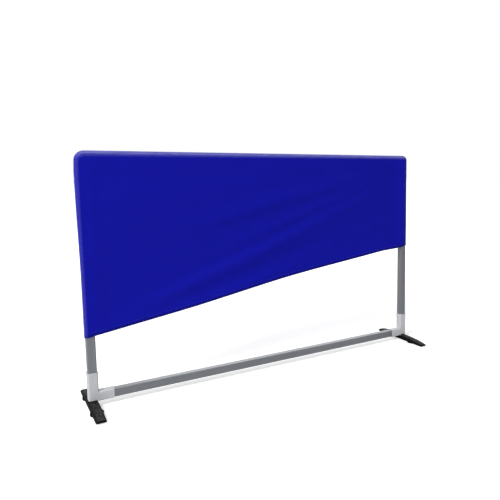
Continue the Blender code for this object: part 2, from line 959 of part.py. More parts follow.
def make_top_band(material, parent):
    centre_x = cloth_side - cloth_corner_radius
    centre_z = cloth_top - cloth_corner_radius
    path = []
    for side, first, last in ((-1, 180, 90), (1, 90, 0)):
        for step in range(elbow_steps + 1):
            angle = math.radians(first + (last - first) * step / elbow_steps)
            out_x = math.cos(angle)
            out_z = math.sin(angle)
            x = side * centre_x + cloth_corner_radius * out_x
            z = centre_z + cloth_corner_radius * out_z
            path.append((x, z, out_x, out_z))
    return finish(band_solid(path), "sleeve_top_band", material, parent)


def make_side_band(side, name, material, parent):
    high = cloth_top - cloth_corner_radius - seat_gap
    low = hem_height(side * frame_width / 2)
    path = [(side * cloth_side, low, side, 0), (side * cloth_side, high, side, 0)]
    return finish(band_solid(path), name, material, parent)


# Assembly

def build():
    clear_scene()
    metal = make_tube_metal()
    corner_plastic = make_corner_plastic()
    foot_plastic = make_foot_plastic()
    rubber = make_pad_rubber()
    steel = make_fastener_steel()
    cloth = make_sleeve_cloth()

    make_bottom_rail(metal)
    make_top_rail(metal)
    for side, word in ((-1, "left"), (1, "right")):
        make_post(side, word + "_post", metal)
        make_lower_corner(side, word + "_lower_corner", corner_plastic)
        make_elbow(side, word + "_upper_elbow", corner_plastic)
        make_screw(word + "_corner_post_screw", lower_post_screw_seat(side), (0, -1, 0), steel)
        make_screw(word + "_corner_rail_screw", lower_rail_screw_seat(side), (0, -1, 0), steel)
        make_screw(word + "_elbow_post_screw", elbow_post_screw_seat(side), (side, 0, 0), steel)
        make_screw(word + "_elbow_rail_screw", elbow_rail_screw_seat(side), (0, 0, 1), steel)
        make_pivot_bolt(side, word + "_pivot_bolt", steel)
        make_pivot_washer(side, word + "_pivot_washer", steel)
        make_pivot_nut(side, word + "_pivot_nut", steel)
        pivot = make_empty(word + "_foot_pivot", (side * pivot_centre, 0, hub_space_top))
        make_foot_bar(side, word + "_foot_bar", foot_plastic, pivot)
        make_pad(side, -1, word + "_front_pad", rubber, pivot)
        make_pad(side, 1, word + "_rear_pad", rubber, pivot)

    lift = make_empty("sleeve_lift", (0, 0, frame_height))
    make_sleeve_panel(-1, "sleeve_front_panel", front_fold_shares, cloth, lift)
    make_sleeve_panel(1, "sleeve_back_panel", back_fold_shares, cloth, lift)
    make_top_band(cloth, lift)
    make_side_band(-1, "sleeve_left_band", cloth, lift)
    make_side_band(1, "sleeve_right_band", cloth, lift)
    bpy.context.view_layer.update()


build()
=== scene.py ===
"""Looks of the table tennis barrier: its metal, plastic and rubber, fasteners and cloth sleeve."""
import math

import bpy
import numpy as np
from mathutils import Matrix, Vector, noise


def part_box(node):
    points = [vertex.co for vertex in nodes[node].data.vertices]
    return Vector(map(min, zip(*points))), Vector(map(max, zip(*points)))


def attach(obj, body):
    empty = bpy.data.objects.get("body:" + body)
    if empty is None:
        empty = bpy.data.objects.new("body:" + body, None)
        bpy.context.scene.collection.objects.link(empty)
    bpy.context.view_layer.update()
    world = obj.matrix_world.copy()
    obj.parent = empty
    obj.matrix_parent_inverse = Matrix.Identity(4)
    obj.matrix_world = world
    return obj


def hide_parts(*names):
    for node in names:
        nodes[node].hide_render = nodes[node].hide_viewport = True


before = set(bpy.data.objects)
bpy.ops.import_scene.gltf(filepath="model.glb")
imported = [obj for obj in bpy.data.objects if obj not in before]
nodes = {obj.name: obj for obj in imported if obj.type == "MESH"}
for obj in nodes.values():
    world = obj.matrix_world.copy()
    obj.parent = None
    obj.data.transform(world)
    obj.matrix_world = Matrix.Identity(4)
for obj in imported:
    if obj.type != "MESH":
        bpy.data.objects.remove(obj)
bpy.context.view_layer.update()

# Posts and rails: 25 mm square aluminium tube, extruded, brushed along its length
# and anodised a satin grey. The posts run up and the rails run across, so each has
# its grain along its own axis.
tube_grey = (0.156, 0.165, 0.180)
tube_grey_light = (0.192, 0.201, 0.217)
tube_metallic = 0.55
brush_marks_per_metre = 1400
brush_runs_per_metre = 4
brush_depth = 0.00008


def new_material(name):
    material = bpy.data.materials.new(name)
    material.use_nodes = True
    tree = material.node_tree
    return material, tree, tree.nodes["Principled BSDF"]


def add_node(tree, kind, **inputs):
    node = tree.nodes.new(kind)
    for key, value in inputs.items():
        node.inputs[key.replace("_", " ")].default_value = value
    return node


def object_noise(tree, scales, detail):
    """Noise over Object coordinates. Its frequency per metre is one number or one for each axis."""
    place = tree.nodes.new("ShaderNodeTexCoord")
    mapping = tree.nodes.new("ShaderNodeMapping")
    mapping.inputs["Scale"].default_value = scales if isinstance(scales, tuple) else (scales,) * 3
    pattern = add_node(tree, "ShaderNodeTexNoise", Scale=1.0, Detail=detail)
    tree.links.new(place.outputs["Object"], mapping.inputs["Vector"])
    tree.links.new(mapping.outputs["Vector"], pattern.inputs["Vector"])
    return pattern.outputs["Fac"]


def spread(tree, source, low, high, from_low=0.3, from_high=0.7):
    """Rescales a pattern's value to lie between low and high."""
    node = add_node(tree, "ShaderNodeMapRange", To_Min=low, To_Max=high)
    node.inputs["From Min"].default_value = from_low
    node.inputs["From Max"].default_value = from_high
    tree.links.new(source, node.inputs["Value"])
    return node.outputs["Result"]


def worked_out(tree, operation, first, second=0.0):
    """Calculates with two values, each a number or another node's output."""
    node = tree.nodes.new("ShaderNodeMath")
    node.operation = operation
    for socket, value in zip(node.inputs, (first, second)):
        if isinstance(value, float):
            socket.default_value = value
        else:
            tree.links.new(value, socket)
    return node.outputs["Value"]


def two_tone(tree, factor, first, second):
    """Mixes two colours, each red, green and blue or another node's output."""
    node = tree.nodes.new("ShaderNodeMix")
    node.data_type = "RGBA"
    tree.links.new(factor, node.inputs["Factor"])
    for key, colour in (("A", first), ("B", second)):
        if isinstance(colour, tuple):
            node.inputs[key].default_value = (*colour, 1)
        else:
            tree.links.new(colour, node.inputs[key])
    return node.outputs["Result"]


def bump(tree, height, strength, distance, below=None):
    node = add_node(tree, "ShaderNodeBump", Strength=strength, Distance=distance)
    tree.links.new(height, node.inputs["Height"])
    if below is not None:
        tree.links.new(below, node.inputs["Normal"])
    return node.outputs["Normal"]


def surface(tree, shader, colour, roughness, normal):
    tree.links.new(colour, shader.inputs["Base Color"])
    tree.links.new(roughness, shader.inputs["Roughness"])
    tree.links.new(normal, shader.inputs["Normal"])


def brushed_aluminium(name, grain_scales):
    material, tree, shader = new_material(name)
    shader.inputs["Metallic"].default_value = tube_metallic
    grain = object_noise(tree, grain_scales, 5)
    cloud = object_noise(tree, 9, 3)
    streaks = object_noise(tree, tuple(max(scale / 8, 1.5) for scale in grain_scales), 2)
    tone = worked_out(tree, "ADD", spread(tree, cloud, -0.1, 0.3), spread(tree, streaks, 0.0, 0.8))
    surface(
        tree,
        shader,
        two_tone(tree, tone, tube_grey, tube_grey_light),
        spread(tree, grain, 0.34, 0.48),
        bump(tree, grain, 0.25, brush_depth),
    )
    return material


along_rail = (brush_runs_per_metre, brush_marks_per_metre, brush_marks_per_metre)
along_post = (brush_marks_per_metre, brush_marks_per_metre, brush_runs_per_metre)
rail_metal = brushed_aluminium("brushed_aluminium_across", along_rail)
post_metal = brushed_aluminium("brushed_aluminium_upright", along_post)


def finish_node(node_name, material):
    mesh = nodes[node_name].data
    mesh.materials.clear()
    mesh.materials.append(material)


for rail in ("bottom_rail", "top_rail"):
    finish_node(rail, rail_metal)
for post in ("left_post", "right_post"):
    finish_node(post, post_metal)


# Lower corners: sockets injection moulded in light grey plastic, with a fine spark
# texture. Each takes a post and the bottom rail, held by a self-tapping screw, and
# its moulded edges are broken by a small radius.
corner_grey = (0.47, 0.475, 0.50)
corner_grey_light = (0.53, 0.535, 0.555)
corner_edge_radius = 0.00035
moulding_sink_depth = 0.0004
merge_distance = 0.00001
flat_degrees = 0.5
hard_edge_degrees = 40
smooth_degrees = 32


def moulded_plastic(name, first, second, roughness, shine, grain_per_metre, grain_depth):
    material, tree, shader = new_material(name)
    shader.inputs["Specular IOR Level"].default_value = shine
    cloud = object_noise(tree, 14, 4)
    flow = object_noise(tree, (60, 60, 9), 3)
    grain = object_noise(tree, grain_per_metre, 3)
    surface(
        tree,
        shader,
        two_tone(tree, spread(tree, cloud, 0.0, 1.0), first, second),
        spread(tree, flow, roughness - 0.06, roughness + 0.06),
        bump(tree, grain, 0.35, grain_depth, bump(tree, cloud, 0.15, moulding_sink_depth)),
    )
    return material


def deselect_all():
    if bpy.context.mode != "OBJECT":
        bpy.ops.object.mode_set(mode="OBJECT")
    bpy.ops.object.select_all(action="DESELECT")


def make_active(piece):
    deselect_all()
    piece.select_set(True)
    bpy.context.view_layer.objects.active = piece


def new_object(name, data):
    piece = bpy.data.objects.new(name, data)
    bpy.context.scene.collection.objects.link(piece)
    return piece


def smooth(piece, degrees):
    make_active(piece)
    bpy.ops.object.shade_smooth_by_angle(angle=math.radians(degrees))


def apply_all(piece):
    make_active(piece)
    for modifier in list(piece.modifiers):
        bpy.ops.object.modifier_apply(modifier=modifier.name)


def softened_copy(node_name, piece_name, edge_radius):
    """A copy of a CAD node, merged, with its hard edges broken by a small radius."""
    piece = new_object(piece_name, nodes[node_name].data.copy())
    piece.data.name = piece_name
    make_active(piece)
    bpy.ops.object.mode_set(mode="EDIT")
    bpy.ops.mesh.select_all(action="SELECT")
    bpy.ops.mesh.remove_doubles(threshold=merge_distance)
    bpy.ops.mesh.dissolve_limited(angle_limit=math.radians(flat_degrees))
    bpy.ops.object.mode_set(mode="OBJECT")
    edges = piece.modifiers.new("Broken edges", "BEVEL")
    edges.width = edge_radius
    edges.segments = 2
    edges.limit_method = "ANGLE"
    edges.angle_limit = math.radians(hard_edge_degrees)
    edges.use_clamp_overlap = True
    edges.harden_normals = False
    apply_all(piece)
    smooth(piece, smooth_degrees)
    flats = piece.modifiers.new("True flats", "WEIGHTED_NORMAL")
    flats.weight = 100
    flats.keep_sharp = True
    apply_all(piece)
    return piece


def dress(piece, material, body):
    piece.data.materials.clear()
    piece.data.materials.append(material)
    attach(piece, body)
    return piece


corner_plastic = moulded_plastic(
    "moulded_corner_plastic", corner_grey, corner_grey_light,
    roughness=0.50, shine=0.35, grain_per_metre=2600, grain_depth=0.00006,
)
for side in ("left", "right"):
    corner_node = side + "_lower_corner"
    corner = softened_copy(corner_node, corner_node + "_moulding", corner_edge_radius)
    dress(corner, corner_plastic, "frame")
    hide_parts(corner_node)

# Upper corners: elbows of the same plastic, which plug into the tube ends and carry
# the top of the sleeve. They show only where the sleeve is drawn off.
for side in ("left", "right"):
    finish_node(side + "_upper_elbow", corner_plastic)

# Self-tapping screws: zinc-plated steel, with a pan head, a cross recess and a
# coarse thread. Eight of them pin the tubes in the corners and elbows.
screw_head_radius = 0.0040
screw_head_height = 0.0024
screw_core_radius = 0.0014
screw_thread_radius = 0.0020
screw_reach = 0.0083
screw_thread_pitch = 0.0013
recess_width = 0.0010
recess_reach = 0.0023
recess_depth = 0.0015
screw_tip_length = 0.0016
turning_steps = 32
turned_merge_distance = 0.000002
profile_smooth_degrees = 35
turned_smooth_degrees = 30
zinc_tone = (0.50, 0.50, 0.50)
zinc_tone_warm = (0.60, 0.59, 0.55)


def plated_steel(name):
    material, tree, shader = new_material(name)
    shader.inputs["Metallic"].default_value = 1.0
    cloud = object_noise(tree, 220, 3)
    fine = object_noise(tree, 3000, 2)
    surface(
        tree,
        shader,
        two_tone(tree, spread(tree, cloud, 0.0, 1.0), zinc_tone, zinc_tone_warm),
        spread(tree, cloud, 0.26, 0.40),
        bump(tree, fine, 0.2, 0.00004),
    )
    return material


def turned_profile(name, profile, steps):
    """Spins a half section, given as radius and height, into a closed turned piece."""
    mesh = bpy.data.meshes.new(name)
    points = [(radius, 0, height) for radius, height in profile]
    mesh.from_pydata(points, [(i, i + 1) for i in range(len(points) - 1)], [])
    piece = new_object(name, mesh)
    make_active(piece)
    bpy.ops.object.mode_set(mode="EDIT")
    bpy.ops.mesh.select_all(action="SELECT")
    bpy.ops.mesh.spin(steps=steps, angle=2 * math.pi, center=(0, 0, 0), axis=(0, 0, 1))
    bpy.ops.mesh.select_all(action="SELECT")
    bpy.ops.mesh.remove_doubles(threshold=turned_merge_distance)
    bpy.ops.mesh.normals_make_consistent(inside=False)
    bpy.ops.object.mode_set(mode="OBJECT")
    smooth(piece, profile_smooth_degrees)
    return piece


def combine(piece, tool, operation):
    """Cuts the tool from the piece, trims the piece to it or welds it on."""
    change = piece.modifiers.new("Combined", "BOOLEAN")
    change.object = tool
    change.operation = operation
    change.solver = "EXACT"
    apply_all(piece)
    bpy.data.objects.remove(tool, do_unlink=True)


def thread_profile(core_radius, outer_radius, start, end, pitch):
    """Zigzag of crests and roots from one height to another."""
    count = max(1, int(abs(end - start) / pitch))
    step = (end - start) / count
    points = []
    for turn in range(count):
        root = start + step * turn
        points.append((core_radius, root))
        points.append((outer_radius, root + step * 0.5))
    points.append((core_radius, end))
    return points


def make_screw():
    head = [
        (0, 0),
        (screw_head_radius * 0.45, 0),
        (screw_head_radius * 0.80, -screw_head_height * 0.16),
        (screw_head_radius * 0.96, -screw_head_height * 0.45),
        (screw_head_radius, -screw_head_height * 0.75),
        (screw_head_radius, -screw_head_height),
    ]
    tip = -screw_head_height - screw_reach
    thread = thread_profile(
        screw_core_radius,
        screw_thread_radius,
        -screw_head_height,
        tip + screw_tip_length,
        screw_thread_pitch,
    )
    screw = turned_profile("screw_model", head + thread + [(0, tip)], turning_steps)
    for width, reach in ((recess_width, recess_reach), (recess_reach, recess_width)):
        deselect_all()
        bpy.ops.mesh.primitive_cube_add(size=1, location=(0, 0, 0))
        slot_tool = bpy.context.object
        slot_tool.scale = (width * 2, reach * 2, recess_depth * 2)
        bpy.ops.object.transform_apply(location=True, rotation=True, scale=True)
        combine(screw, slot_tool, "DIFFERENCE")
    smooth(screw, turned_smooth_degrees)
    return screw


zinc_steel = plated_steel("zinc_plated_steel")
screw_model = make_screw()
screw_headings = {
    "corner_post_screw": (0, -1, 0),
    "corner_rail_screw": (0, -1, 0),
    "elbow_post_screw": (1, 0, 0),
    "elbow_rail_screw": (0, 0, 1),
}
for side, sign in (("left", -1), ("right", 1)):
    for kind, heading in screw_headings.items():
        heading = Vector((heading[0] * sign, heading[1], heading[2]))
        low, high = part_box(side + "_" + kind)
        centre = (low + high) / 2
        half = abs((high - low).dot(heading)) / 2
        head_top = centre - heading * half
        screw = new_object(side + "_" + kind + "_detailed", screw_model.data.copy())
        turn = Vector((0, 0, -1)).rotation_difference(heading).to_matrix().to_4x4()
        screw.data.transform(Matrix.Translation(head_top) @ turn)
        dress(screw, zinc_steel, "frame")
        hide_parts(side + "_" + kind)
bpy.data.objects.remove(screw_model, do_unlink=True)

# Pivot bolts, washers and nuts: M6 hexagon bolts, zinc plated, that come up through
# each foot into a nut held captive in the corner. Heads and nuts are chamfered.
bolt_across_corners = 0.0110
bolt_chamfer = 0.0009
bolt_chamfer_slope = 0.55
bolt_radius = 0.0030
bolt_thread_pitch = 0.0010
bolt_thread_depth = 0.0006
bolt_thread_length = 0.012
bolt_tip_chamfer = 0.0008
bolt_head_gap = 0.0003
chamfer_steps = 48
weld_overlap = 0.0010
nut_bore_clearance = 0.0003
bore_overrun = 0.001
washer_edge_radius = 0.00015


def hexagon_with_chamfers(name, bottom, top, chamfer_top, chamfer_bottom):
    """A hexagon trimmed by a turned blank, as a real one is."""
    deselect_all()
    reach = bolt_across_corners / 2
    bpy.ops.mesh.primitive_cylinder_add(
        vertices=6, radius=reach, depth=top - bottom, location=(0, 0, (top + bottom) / 2)
    )
    piece = bpy.context.object
    piece.name = name
    bpy.ops.transform.rotate(value=math.radians(30), orient_axis="Z", center_override=(0, 0, 0))
    bpy.ops.object.transform_apply(location=True, rotation=True, scale=True)
    low_chamfer = bolt_chamfer if chamfer_bottom else 0
    high_chamfer = bolt_chamfer if chamfer_top else 0
    profile = [
        (0, bottom),
        (reach - low_chamfer, bottom),
        (reach, bottom + low_chamfer * bolt_chamfer_slope),
        (reach, top - high_chamfer * bolt_chamfer_slope),
        (reach - high_chamfer, top),
        (0, top),
    ]
    combine(piece, turned_profile("blank", profile, chamfer_steps), "INTERSECT")
    return piece


def settle(piece, node_name, material):
    """Moves a fastener modelled on the Z axis to its node's axis."""
    low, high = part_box(node_name)
    piece.data.transform(Matrix.Translation(((low.x + high.x) / 2, (low.y + high.y) / 2, 0)))
    smooth(piece, turned_smooth_degrees)
    dress(piece, material, "frame")
    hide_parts(node_name)


for side in ("left", "right"):
    bolt_low, bolt_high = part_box(side + "_pivot_bolt")
    nut_low, nut_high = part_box(side + "_pivot_nut")
    head_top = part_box(side + "_pivot_washer")[0].z - bolt_head_gap
    bolt = hexagon_with_chamfers(side + "_pivot_bolt_detailed", bolt_low.z, head_top, False, True)
    root_radius = bolt_radius - bolt_thread_depth
    weld_height = head_top - weld_overlap
    thread_start = nut_low.z - bolt_thread_length
    thread_end = bolt_high.z - bolt_tip_chamfer
    shank = [(0, weld_height), (bolt_radius, weld_height), (bolt_radius, thread_start)]
    shank += thread_profile(root_radius, bolt_radius, thread_start, thread_end, bolt_thread_pitch)
    shank += [(root_radius, bolt_high.z), (0, bolt_high.z)]
    combine(bolt, turned_profile("shank", shank, turning_steps), "UNION")
    settle(bolt, side + "_pivot_bolt", zinc_steel)

    nut = hexagon_with_chamfers(side + "_pivot_nut_detailed", nut_low.z, nut_high.z, True, True)
    bore_radius = bolt_radius + nut_bore_clearance
    bore_low, bore_high = nut_low.z - bore_overrun, nut_high.z + bore_overrun
    bore = [(0, bore_low), (bore_radius, bore_low), (bore_radius, bore_high), (0, bore_high)]
    combine(nut, turned_profile("bore", bore, turning_steps), "DIFFERENCE")
    settle(nut, side + "_pivot_nut", zinc_steel)

    washer_node = side + "_pivot_washer"
    washer = softened_copy(washer_node, washer_node + "_detailed", washer_edge_radius)
    dress(washer, zinc_steel, "frame")
    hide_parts(washer_node)

# Feet: bars moulded in black glass-filled plastic, crowned on top, ribbed below, with a
# round hub under the post. The top has a leathery mould texture, with painted highlight
# streaks along the foot's length that stop short of a painted shade round its rim.
foot_black = (0.0095, 0.0097, 0.0099)
foot_black_worn = (0.018, 0.0177, 0.0174)
# Painted highlight: pale streaks along the foot's top.
foot_painted_highlight = (0.054, 0.053, 0.052)
# Painted shade round the foot's rim, where the crowned top turns away from the light.
foot_painted_rim_shade = (0.0035, 0.0035, 0.0037)
foot_rim_width = 0.0070
foot_rim_start = 0.0010
foot_edge_radius = 0.0003
highlight_streaks_per_metre = (320, 60, 320)


def paint_foot_light_and_shade(material, foot_node):
    """Adds painted highlight streaks and a painted rim shade, placed by how far a point lies inside
    the foot's sides and tips.
    """
    tree = material.node_tree
    shader = tree.nodes["Principled BSDF"]
    low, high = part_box(foot_node)
    place = tree.nodes.new("ShaderNodeTexCoord")
    axes = tree.nodes.new("ShaderNodeSeparateXYZ")
    tree.links.new(place.outputs["Object"], axes.inputs["Vector"])
    across = worked_out(tree, "ABSOLUTE", axes.outputs["X"])
    from_middle = worked_out(tree, "SUBTRACT", across, (low.x + high.x) / 2)
    off_middle = worked_out(tree, "ABSOLUTE", from_middle)
    from_side = worked_out(tree, "SUBTRACT", (high.x - low.x) / 2, off_middle)
    along = worked_out(tree, "ABSOLUTE", axes.outputs["Y"])
    from_tip = worked_out(tree, "SUBTRACT", (high.y - low.y) / 2, along)
    nearest = worked_out(tree, "MINIMUM", from_side, from_tip)
    # Painted shade along the rim, from the sides and tips inwards.
    inside = spread(tree, nearest, 0.0, 1.0, foot_rim_start, foot_rim_width)
    # Painted highlight streaks running along the foot.
    highlight_streaks = spread(tree, object_noise(tree, highlight_streaks_per_metre, 4), 0.0, 1.0, 0.42, 0.66)
    with_highlights = two_tone(tree, highlight_streaks, shader.inputs["Base Color"].links[0].from_socket, foot_painted_highlight)
    tree.links.new(two_tone(tree, inside, foot_painted_rim_shade, with_highlights), shader.inputs["Base Color"])


foot_plastic = moulded_plastic(
    "moulded_foot_plastic", foot_black, foot_black_worn,
    roughness=0.62, shine=0.04, grain_per_metre=1500, grain_depth=0.00012,
)
paint_foot_light_and_shade(foot_plastic, "right_foot_bar")
for side in ("left", "right"):
    foot = softened_copy(side + "_foot_bar", side + "_foot_moulding", foot_edge_radius)
    dress(foot, foot_plastic, side + "_foot")
    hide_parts(side + "_foot_bar")

# Rubber pads: round black bumpers pushed into the underside of each foot by a stem,
# with a rounded rim and rings in the sole for grip.
pad_black = (0.0030, 0.0030, 0.0030)
pad_black_dusty = (0.0070, 0.0070, 0.0070)
pad_ring_depth = 0.0006
pad_ring_pitch = 0.0030
pad_ring_width = 0.0014
pad_ring_slope = 0.0004
pad_rim_round = 0.0012
pad_rim_top = 0.0095
pad_round_steps = 4
pad_turning_steps = 72
pad_stem_radius = 0.0035
pad_stem_chamfer = 0.0005


def moulded_rubber(name):
    material, tree, shader = new_material(name)
    shader.inputs["Specular IOR Level"].default_value = 0.04
    cloud = object_noise(tree, 90, 4)
    grain = object_noise(tree, 2200, 2)
    surface(
        tree,
        shader,
        two_tone(tree, spread(tree, cloud, 0.0, 1.0), pad_black, pad_black_dusty),
        spread(tree, cloud, 0.78, 0.92),
        bump(tree, grain, 0.3, 0.00008),
    )
    return material


def make_pad(name, radius, stem_top):
    profile = [(0, 0)]
    ring = pad_ring_pitch
    while ring < radius - pad_ring_pitch:
        profile += [
            (ring, 0),
            (ring + pad_ring_slope, pad_ring_depth),
            (ring + pad_ring_width - pad_ring_slope, pad_ring_depth),
            (ring + pad_ring_width, 0),
        ]
        ring += pad_ring_pitch
    for first, centre in ((-90, pad_rim_round), (0, pad_rim_top - pad_rim_round)):
        for step in range(pad_round_steps + 1):
            angle = math.radians(first + 90 * step / pad_round_steps)
            across = radius - pad_rim_round + pad_rim_round * math.cos(angle)
            profile.append((across, centre + pad_rim_round * math.sin(angle)))
    profile += [
        (pad_stem_radius, pad_rim_top),
        (pad_stem_radius, stem_top - pad_stem_chamfer),
        (pad_stem_radius - pad_stem_chamfer, stem_top),
        (0, stem_top),
    ]
    return turned_profile(name, profile, pad_turning_steps)


rubber = moulded_rubber("black_rubber")
for side in ("left", "right"):
    for end in ("front", "rear"):
        node_name = side + "_" + end + "_pad"
        low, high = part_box(node_name)
        pad = make_pad(node_name + "_detailed", (high.x - low.x) / 2, high.z)
        pad.data.transform(Matrix.Translation(((low.x + high.x) / 2, (low.y + high.y) / 2, 0)))
        dress(pad, rubber, side + "_foot")
        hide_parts(node_name)

# Sleeve: royal blue woven polyester, cut as a front, a back and one long edge strip,
# sewn together with the seams turned in. It is drawn down over the frame askew, so
# its turned-up hem slants and the pull gathers folds towards the upper right.
post_face = -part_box("right_post")[0].y
post_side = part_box("right_post")[1].x
rail_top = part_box("top_rail")[1].z
face_ease = 0.0027
side_ease = 0.0022
top_ease = 0.0040
cloth_gauge = 0.0005
cloth_depth = post_face + face_ease
cloth_half = post_side + side_ease
cloth_top = rail_top + top_ease
top_round = 0.011
low_round = 0.008
corner_round_left = 0.027
corner_round_right = 0.019
hem_left = 0.2115
hem_right = 0.3975
hem_turn = 0.0125
seam_degrees = 62
seam_gap = 0.00015
seam_tuck = 0.0012
seam_puff = 0.0003
panel_recess = 0.0020
cloth_blue = (0.0040, 0.0052, 0.291)
cloth_blue_light = (0.0058, 0.0073, 0.342)
# Painted sheen: a pale blue mixed into the cloth on its edge lips, where the light catches them.
cloth_painted_sheen = (0.152, 0.156, 0.440)
# Painted shade: a darker blue mixed into the cloth just above the hem.
cloth_painted_hem_shade = (0.0015, 0.0020, 0.105)
thread_blue = (0.020, 0.026, 0.360)
weave_repeat = 0.0014
weave_depth = 0.00014
cloud_depth = 0.0010
stitch_pitch = 0.0032
stitch_length = stitch_pitch * 0.80
stitch_radius = 0.00022
stitch_lift = 0.0001
seam_stitch_degrees = seam_degrees - 22
seam_stitch_sink = 0.0003
strip_steps = 5
strip_sag = 0.0003

# The hem's line: a slow rise past the middle and a short dip by the right post.
hem_rise = 0.0095
hem_rise_centre = 0.06
hem_rise_width = 0.30
hem_dip = 0.0060
hem_dip_centre = 0.555
hem_dip_width = 0.055

# The mesh: rows lie close together round the hem's stitching, and evenly above it.
panel_columns = 300
panel_rows = 84
corner_columns = 16
lip_steps = 10
hem_rows = (
    0, 0.0008, 0.0018, 0.0030, 0.0045, 0.0085,
    0.0114, 0.0120, 0.0125, 0.0130, 0.0137, 0.0160,
)

# Spans over which a form grows from nothing to full: places along x, heights, or
# distances from the panel's edge or from the hem.
round_span = (0.42, 0.68)
fold_margin = (0, 0.075)
wrinkle_margin = (0, 0.030)
recess_right = (0.590, 0.545)
recess_left = (-0.568, -0.533)
recess_top = (0.722, 0.672)
recess_hem = (0, 0.050)
left_bulge = 0.0040
left_bulge_loss = 0.5
left_bulge_side = (-0.30, -0.60)
left_bulge_low = (0.36, 0.68)
left_bulge_high = (0.69, 0.75)
right_bulge = 0.0010
right_bulge_side = (0.45, 0.60)
right_bulge_low = (0.45, 0.70)

# The turned-in seam lies over the right post and lifts the cloth. The turned-up hem
# is a layer thicker, dented by its stitching, and its lowest part rolls inwards.
ridge_height = 0.0034
ridge_side = (0.535, 0.583)
ridge_edge = (0, 0.009)
ridge_top = (0, 0.030)
hem_layer = 0.00025
hem_layer_step = 0.0012
stitch_dent = 0.00018
stitch_dent_width = 0.0009
hem_roll = 0.0024
hem_roll_sink = 0.0004
hem_roll_span = (0, 0.0075)
hem_roll_side = (0.592, 0.567)

# The cloth puffs up a little beside its seams. Low down, where its edge is rounded more
# tightly, the panel's sides spread to meet it. Angles run from the panel's face round
# to the middle of the edge.
seam_puff_centre = seam_degrees - 14
seam_puff_width = 9
seam_overlap_degrees = 0.5
spread_width = 0.06
cloth_smooth_degrees = 50

# Painted sheen round the sleeve's edge lips: most on top, less down its sides, and more on the left
# side, which faces the light, than on the right.
# A painted shade darkens the cloth over the turned-up hem, deepest at its lower edge.
sheen_on_face = 0.33
sheen_on_left = 0.18
sheen_on_right = 0.04
sheen_from = (0, 30)
sheen_until = (78, 66)
hem_shade_height = 0.014

# Fine wrinkles: how far they tilt, then for long and short ones the frequencies per
# metre along and across the tilt, and their height.
wrinkle_tilt = math.radians(23)
long_wrinkles = (2.2, 17, 0.0005)
short_wrinkles = (6, 40, 0.0002)
wrinkle_lift = 0.6

# Each fold: where its crest starts, passes and ends as x and height, how far it stands
# out, and how wide its upper and lower slopes are. It grows and fades over shares of
# its length.
fold_grows_over = 0.28
fold_fades_over = 0.62
front_folds = (
    ((-0.58, 0.242), (0.00, 0.438), (0.56, 0.666), 0.0088, 0.021, 0.032),
    ((-0.48, 0.232), (-0.05, 0.328), (0.36, 0.468), 0.0080, 0.022, 0.060),
    ((-0.28, 0.404), (0.10, 0.536), (0.60, 0.712), 0.0033, 0.016, 0.018),
    ((-0.36, 0.498), (0.10, 0.607), (0.57, 0.708), 0.0058, 0.030, 0.022),
    ((-0.34, 0.590), (-0.08, 0.655), (0.25, 0.728), 0.0012, 0.022, 0.018),
    ((0.10, 0.430), (0.28, 0.492), (0.50, 0.570), 0.0010, 0.016, 0.016),
    ((0.24, 0.531), (0.40, 0.598), (0.58, 0.672), 0.0012, 0.014, 0.014),
    ((0.00, 0.314), (0.40, 0.367), (0.80, 0.420), 0.0034, 0.042, 0.040),
    ((-0.70, 0.600), (-0.30, 0.610), (0.20, 0.640), 0.0030, 0.070, 0.090),
)
back_folds = (
    ((-0.55, 0.252), (-0.05, 0.420), (0.52, 0.640), 0.0056, 0.026, 0.026),
    ((-0.30, 0.300), (0.06, 0.405), (0.42, 0.520), 0.0030, 0.020, 0.020),
    ((-0.30, 0.420), (0.12, 0.556), (0.52, 0.680), 0.0030, 0.020, 0.018),
    ((-0.38, 0.520), (0.06, 0.618), (0.52, 0.706), 0.0040, 0.026, 0.022),
)


def ease(share):
    held = np.clip(share, 0, 1)
    return held * held * (3 - 2 * held)


def grown(value, span):
    """0 before the span and 1 past it, with a smooth rise between."""
    start, end = span
    return ease((value - start) / (end - start))


def hem_line(x):
    share = (x + cloth_half) / (2 * cloth_half)
    straight = hem_left + (hem_right - hem_left) * share
    rise = hem_rise * np.exp(-((x - hem_rise_centre) / hem_rise_width) ** 2)
    dip = hem_dip * np.exp(-((x - hem_dip_centre) / hem_dip_width) ** 2)
    return straight + rise - dip


def edge_round(z):
    return low_round + (top_round - low_round) * grown(z, round_span)


def crest_height(x, start, middle, end):
    """Height of a fold's crest at x, on the parabola through its three points."""
    total = 0
    points = (start, middle, end)
    for index, (own_x, own_z) in enumerate(points):
        term = own_z
        for other, (other_x, _) in enumerate(points):
            if other != index:
                term = term * (x - other_x) / (own_x - other_x)
        total = total + term
    return total


def fold_relief(x, z, folds):
    total = np.zeros_like(x)
    for start, middle, end, height, upper, lower in folds:
        slope = (end[1] - start[1]) / (end[0] - start[0])
        across = (z - crest_height(x, start, middle, end)) / math.sqrt(1 + slope * slope)
        width = np.where(across > 0, upper, lower)
        length = end[0] - start[0]
        along = ease((x - start[0]) / (fold_grows_over * length))
        along *= ease((end[0] - x) / (fold_fades_over * length))
        total += height * along * np.exp(-(across / width) ** 2)
    return total


def fine_wrinkles(x, z, seed):
    """Small uneven waves that run along the pull of the cloth."""
    waves = []
    for own_x, own_z in zip(x, z):
        along = own_x * math.cos(wrinkle_tilt) + own_z * math.sin(wrinkle_tilt)
        across = own_z * math.cos(wrinkle_tilt) - own_x * math.sin(wrinkle_tilt)
        slow = noise.noise((along * long_wrinkles[0], across * long_wrinkles[1], seed))
        quick = noise.noise((along * short_wrinkles[0], across * short_wrinkles[1], seed + 9))
        waves.append(long_wrinkles[2] * (slow + wrinkle_lift) + short_wrinkles[2] * quick)
    return np.array(waves)


